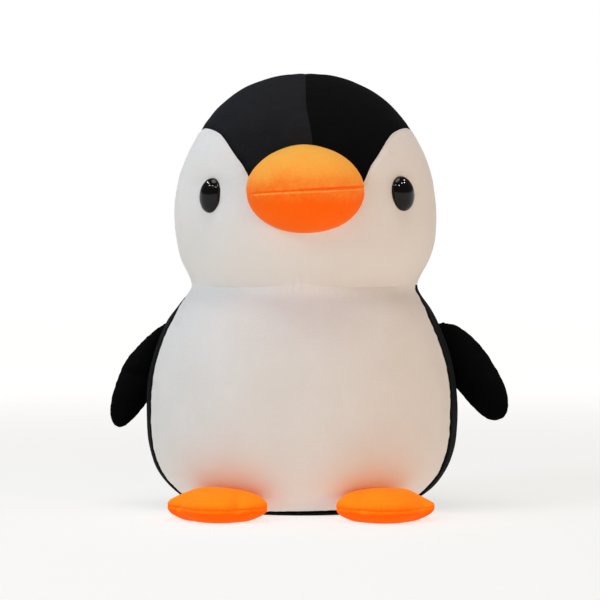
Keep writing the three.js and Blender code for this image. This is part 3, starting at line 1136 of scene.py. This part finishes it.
def make_pad_panels(pad, names, seam, lumps, place, material, valleys=None):
    """Both panels of a pad as closed skins, moved into place."""
    made = []
    rim = np.column_stack([pad.outline, np.zeros(len(pad.outline))])
    edge = Seam(rim, *seam)
    bulge = pad.bulge(edge)
    for name, sign in zip(names, (1, -1)):
        points, quads = pad.side(sign)
        faces = as_faces(quads)
        on_rim = sorted({i for pair in rim_of(faces) for i in pair})
        offset = edge.offset(points) + lumps(points) + bulge.at(points)
        if valleys is not None:
            reach = 1 if sign > 0 else np.exp(-((edge.distance(points) / 0.006) ** 2))
            offset = offset - valleys(points[:, :2]) * reach
        points = points + level_rim(normals_of(points, faces), on_rim) * offset[:, None]
        normals = level_rim(normals_of(points, faces), on_rim)
        points, faces = thicken(points, faces, normals, 0.0010)
        points = place(points)
        made.append(make_object(name, points, faces, material))
    return made


# ------------------------------------------------------------------ flippers


# Outlines (away from the body, down along the root) seen from the front.
FLIPPER_OUTLINES = {
    "left": [
        (-0.005, 0.001),
        (0.011, 0.017),
        (0.028, 0.051),
        (0.030, 0.092),
        (0.018, 0.107),
        (0.004, 0.094),
        (-0.008, 0.062),
        (-0.009, 0.020),
    ],
    "right": [
        (-0.004, 0.001),
        (0.015, 0.008),
        (0.034, 0.037),
        (0.045, 0.076),
        (0.039, 0.099),
        (0.022, 0.100),
        (0.005, 0.077),
        (-0.008, 0.045),
        (-0.008, 0.012),
    ],
}
FLIPPER_HALF_THICKNESS = 0.0095
FLIPPER_SWEEP = math.radians(5)
# The fibre ends this far out from the root, drawn towards the heart of the flipper.
FILL_ROOT = 0.013
FILL_HEART = np.array([0.020, -0.070])


def make_flipper(name, side):
    joint = JOINTS[f"flipper_{name}_swing"]
    top = np.array(joint["pos_m"])
    down = np.array(joint["axis"]) * (1 if joint["axis"][2] < 0 else -1)
    down /= np.linalg.norm(down)
    out = np.array([side * math.cos(FLIPPER_SWEEP), math.sin(FLIPPER_SWEEP), 0.0])
    out -= down * (out @ down)
    out /= np.linalg.norm(out)
    front = np.cross(out, down) * side
    corners = [(x, -z) for x, z in FLIPPER_OUTLINES[name]]

    def heights(spread, sign, flat):
        dome = FLIPPER_HALF_THICKNESS * np.sqrt(np.maximum(0, 1 - spread**2.2))
        near = smoothstep((flat[:, 0] + 0.008) / 0.024)
        return sign * dome * (0.45 + 0.55 * near)

    pad = Pad(corners, 56, heights)

    def place(points):
        return (
            top
            + points[:, :1] * out
            - points[:, 1:2] * down
            + points[:, 2:] * front
        )

    seam = (0.0009, 0.0020, 0.0005, 0.006, 0.0045)
    lumps = cloth_lumps(11 + side, 0.0010, 0.0003)
    names = (f"flipper_{name}_face", f"flipper_{name}_rear")
    made = make_pad_panels(pad, names, seam, lumps, place, BLACK)
    body = f"flipper_{name}"
    nodes = (f"flipper_{name}_front", f"flipper_{name}_back")
    for obj, node in zip(made, nodes):
        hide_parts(node)
        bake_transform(obj)

    def clear_of_root(points):
        out = np.minimum(points[:, 0], FILL_ROOT)
        short = (FILL_ROOT - out) / (FILL_HEART[0] - out)
        points[:, :2] += short[:, None] * (FILL_HEART - points[:, :2])
        points[:, 2] *= 0.1 + 0.9 * smoothstep((points[:, 0] - 0.010) / 0.020)
        return points

    node = f"flipper_{name}_stuffing"
    make_pad_fill(f"flipper_{name}_fill", pad, place, body, node, clear_of_root)


def make_pad_fill(name, pad, place, body, node, trim):
    """The fibre inside a pad, a little smaller than its skin."""
    parts = [pad.side(1), pad.side(-1)]
    count = len(parts[0][0])
    points = np.vstack([points for points, _ in parts])
    faces = parts[0][1].tolist() + (parts[1][1] + count).tolist()
    centre = np.array([*pad.centre, 0.0])
    points = centre + (points - centre) * [0.84, 0.84, 0.68]
    points = trim(points)
    rims = rim_of([tuple(face) for face in parts[0][1].tolist()])
    faces += [(j, i, i + count, j + count) for i, j in rims]
    obj = make_object(name, place(points), faces, FIBRE)
    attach(obj, body)
    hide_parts(node)


# ------------------------------------------------------------------ feet


FOOT_OUTLINE = [
    (0.047, -0.090),
    (0.080, -0.080),
    (0.112, -0.094),
    (0.117, -0.114),
    (0.103, -0.136),
    (0.087, -0.153),
    (0.068, -0.157),
    (0.047, -0.148),
    (0.030, -0.130),
    (0.033, -0.105),
]
FOOT_SHIFT = 0.003
FOOT_CROWN_DROP = 0.0032
FOOT_SEAM_DROP = 0.0025
# The right foot is a little narrower than the left one.
FOOT_WIDTHS = {"left": 1.0, "right": 0.965}
FOOT_OUTER_FALL = {"left": 0.2, "right": 0.5}
FOOT_MIDDLE = 0.078
# Each valley between two toes: where it starts on the edge and where it runs out.
TOE_VALLEYS = [((0.1090, -0.1290), (0.094, -0.106)), ((0.0515, -0.151), (0.056, -0.116))]
TOE_VALLEY_DEPTH = 0.0042
TOE_VALLEY_HALF_WIDTH = 0.0060


def toe_valleys(flat, side):
    """How deep the valleys between the toes are at each spot of the foot."""
    found = np.zeros(len(flat))
    for start, end in TOE_VALLEYS:
        start = np.array([side * start[0] + FOOT_SHIFT, start[1]])
        end = np.array([side * end[0] + FOOT_SHIFT, end[1]])
        along = end - start
        share = np.clip((flat - start) @ along / (along @ along), 0, 1)
        distance = np.linalg.norm(flat - (start + share[:, None] * along), axis=1)
        depth = TOE_VALLEY_DEPTH * (1 - share) ** 0.7
        found += depth * np.exp(-((distance / TOE_VALLEY_HALF_WIDTH) ** 2))
    return found


def make_foot(name, side):
    _, high = box_of(f"foot_{name}_top", f"foot_{name}_sole")
    joint = JOINTS[f"foot_{name}_lift"]
    hinge = np.array(joint["pos_m"])
    seam_z = hinge[2] - FOOT_SEAM_DROP
    crown = high[2] - seam_z - FOOT_CROWN_DROP
    width = FOOT_WIDTHS[name]
    spread = [(FOOT_MIDDLE + (x - FOOT_MIDDLE) * width, y) for x, y in FOOT_OUTLINE]
    corners = [(side * x + FOOT_SHIFT, y) for x, y in spread]
    forward = np.array([-joint["axis"][1], joint["axis"][0], 0.0])
    forward /= np.linalg.norm(forward)
    if forward[1] > 0:
        forward = -forward

    def heights(spread, sign, flat):
        dome = np.maximum(0, 1 - spread**2.4) ** 0.42
        from_heel = (flat - hinge[:2]) @ forward[:2]
        wedge = np.clip(0.35 + (from_heel + 0.004) / 0.030, 0.3, 1)
        outer = smoothstep((np.abs(flat[:, 0] - FOOT_SHIFT) - 0.090) / 0.024)
        if sign > 0:
            return crown * dome * wedge * (1 - FOOT_OUTER_FALL[name] * outer)
        return -seam_z * np.minimum(1, 1.15 * dome)

    pad = Pad(corners, 72, heights)

    def place(points):
        moved = points + [0, 0, seam_z]
        moved[:, 2] = np.maximum(moved[:, 2], 0.0)
        return moved

    seam = (0.0005, 0.0012, 0.0006, 0.006, 0.0035)
    lumps = cloth_lumps(17 + side, 0.0009, 0.0003)
    valleys = lambda flat: toe_valleys(flat, side)
    names = (f"foot_{name}_upper", f"foot_{name}_under")
    made = make_pad_panels(pad, names, seam, lumps, place, GLOWING_FOOT_ORANGE, valleys)
    body = f"foot_{name}"
    nodes = (f"foot_{name}_top", f"foot_{name}_sole")
    for obj, node in zip(made, nodes):
        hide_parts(node)
        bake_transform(obj)

    def under_valleys(points):
        points[:, 2] -= 1.1 * valleys(points[:, :2]) * (points[:, 2] > 0)
        return points

    node = f"foot_{name}_stuffing"
    make_pad_fill(f"foot_{name}_fill", pad, place, body, node, under_valleys)


# ------------------------------------------------------------------ label


def make_label():
    """A blank folded ribbon hanging from the middle seam of the back."""
    low, high = box_of("care_label")
    across, up = 12, 20
    points = []
    for row in range(up + 1):
        share = row / up
        z = low[2] + (high[2] - low[2]) * share
        y = TORSO.project(np.array([[0, 0.1, z]]))[0][1]
        for column in range(across + 1):
            x = low[0] + (high[0] - low[0]) * column / across
            curl = 0.0016 * (1 - share) ** 2 + 0.0005 * math.cos(math.pi * (x / high[0]))
            points.append([x, y + 0.0008 + curl, z])
    faces = []
    for row in range(up):
        for column in range(across):
            i = row * (across + 1) + column
            faces.append((i, i + across + 1, i + across + 2, i + 1))
    points = np.array(points)
    normals = normals_of(points, faces)
    points, faces = thicken(points, faces, normals, 0.0006)
    label = make_object("label", points, faces, RIBBON)
    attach(label, "torso")
    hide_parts("care_label")


# ------------------------------------------------------------------ stage


FLOOR_GLOW_NEAR = 0.72
FLOOR_GLOW_FAR = 0.95


def make_stage():
    """A wide pale floor that fades into the white all round."""
    radius, count = 9.0, 96
    points = [(0, 0, 0)]
    for k in range(count):
        angle = 2 * math.pi * k / count
        points.append((radius * math.cos(angle), radius * math.sin(angle), 0))
    faces = [(0, 1 + k, 1 + (k + 1) % count) for k in range(count)]
    material = bpy.data.materials.new("floor")
    material.use_nodes = True
    shader = material.node_tree.nodes["Principled BSDF"]
    shader.inputs["Base Color"].default_value = (0.36, 0.36, 0.36, 1)
    shader.inputs["Roughness"].default_value = 0.9
    shader.inputs["Specular IOR Level"].default_value = 0.0
    shader.inputs["Emission Color"].default_value = (1, 0.99, 0.97, 1)
    nodes, links = material.node_tree.nodes, material.node_tree.links
    place = nodes.new("ShaderNodeTexCoord")
    away = nodes.new("ShaderNodeVectorMath")
    away.operation = "LENGTH"
    links.new(place.outputs["Object"], away.inputs[0])
    glow = nodes.new("ShaderNodeMapRange")
    glow.interpolation_type = "SMOOTHSTEP"
    glow.inputs["From Min"].default_value = 0.3
    glow.inputs["From Max"].default_value = 2.6
    glow.inputs["To Min"].default_value = FLOOR_GLOW_NEAR
    glow.inputs["To Max"].default_value = FLOOR_GLOW_FAR
    links.new(away.outputs["Value"], glow.inputs["Value"])
    links.new(glow.outputs["Result"], shader.inputs["Emission Strength"])
    floor = make_object("floor", points, faces, material)


WORLD_BAND = 1.0
WORLD_ABOVE = 0.14


def aim(obj, target):
    direction = Vector(target) - obj.location
    obj.rotation_euler = direction.to_track_quat("-Z", "Y").to_euler()


def make_lamp(name, place, target, size, energy, colour, lights_cloth=True, glints=True):
    data = bpy.data.lights.new(name, "AREA")
    data.shape = "DISK"
    data.size = size
    data.energy = energy
    data.color = colour
    lamp = bpy.data.objects.new(name, data)
    lamp.location = place
    lamp.visible_diffuse = lights_cloth
    lamp.visible_glossy = glints
    bpy.context.scene.collection.objects.link(lamp)
    aim(lamp, target)


def make_world():
    """White at the level of the horizon, dimmer higher up."""
    world = bpy.data.worlds.new("world")
    bpy.context.scene.world = world
    world.use_nodes = True
    nodes, links = world.node_tree.nodes, world.node_tree.links
    place = nodes.new("ShaderNodeTexCoord")
    split = nodes.new("ShaderNodeSeparateXYZ")
    links.new(place.outputs["Generated"], split.inputs[0])
    ramp = nodes.new("ShaderNodeValToRGB")
    ramp.color_ramp.elements[0].position = 0.15
    ramp.color_ramp.elements[0].color = (WORLD_BAND, WORLD_BAND, WORLD_BAND, 1)
    ramp.color_ramp.elements[1].position = 0.24
    ramp.color_ramp.elements[1].color = (WORLD_ABOVE, WORLD_ABOVE, WORLD_ABOVE, 1)
    links.new(split.outputs["Z"], ramp.inputs["Fac"])
    links.new(ramp.outputs["Color"], nodes["Background"].inputs["Color"])
    nodes["Background"].inputs["Strength"].default_value = 1.0


def make_lights():
    middle = (0, 0, 0.22)
    make_lamp("key", (-1.5, -1.1, 1.35), middle, 0.8, 14.0, (0.70, 0.84, 1.0), True, False)
    make_lamp("fill", (1.3, -1.5, 0.12), middle, 0.9, 12.5, (1.0, 0.48, 0.13), True, False)
    make_lamp("top", (-0.1, -0.15, 1.9), middle, 1.0, 9.5, (1.0, 0.96, 0.90))
    for k, azimuth in enumerate((-112, -86, -60, -25, 22, 58, 84, 108)):
        turn = math.radians(azimuth)
        place = (1.5 * math.sin(turn), -1.5 * math.cos(turn), 1.75 + 0.3 * (k % 2))
        make_lamp(f"spark_{k}", place, middle, 0.17, 6, (0.96, 0.98, 1), False)
    make_world()


def make_camera():
    data = bpy.data.cameras.new("camera")
    data.lens = CAMERA_LENS
    camera = bpy.data.objects.new("camera", data)
    camera.location = (
        CAMERA_AIM[0] + CAMERA_DISTANCE * math.sin(CAMERA_AZIMUTH),
        CAMERA_AIM[1] - CAMERA_DISTANCE * math.cos(CAMERA_AZIMUTH),
        CAMERA_HEIGHT,
    )
    bpy.context.scene.collection.objects.link(camera)
    aim(camera, CAMERA_AIM)
    bpy.context.scene.camera = camera


make_camera()
make_lights()
make_stage()
make_torso()
make_base()
make_head()
for side_name, side_sign in (("right", 1), ("left", -1)):
    make_eye(side_name, side_sign)
    make_flipper(side_name, side_sign)
    make_foot(side_name, side_sign)
make_beak()
make_label()
bpy.context.scene.view_settings.view_transform = "Standard"
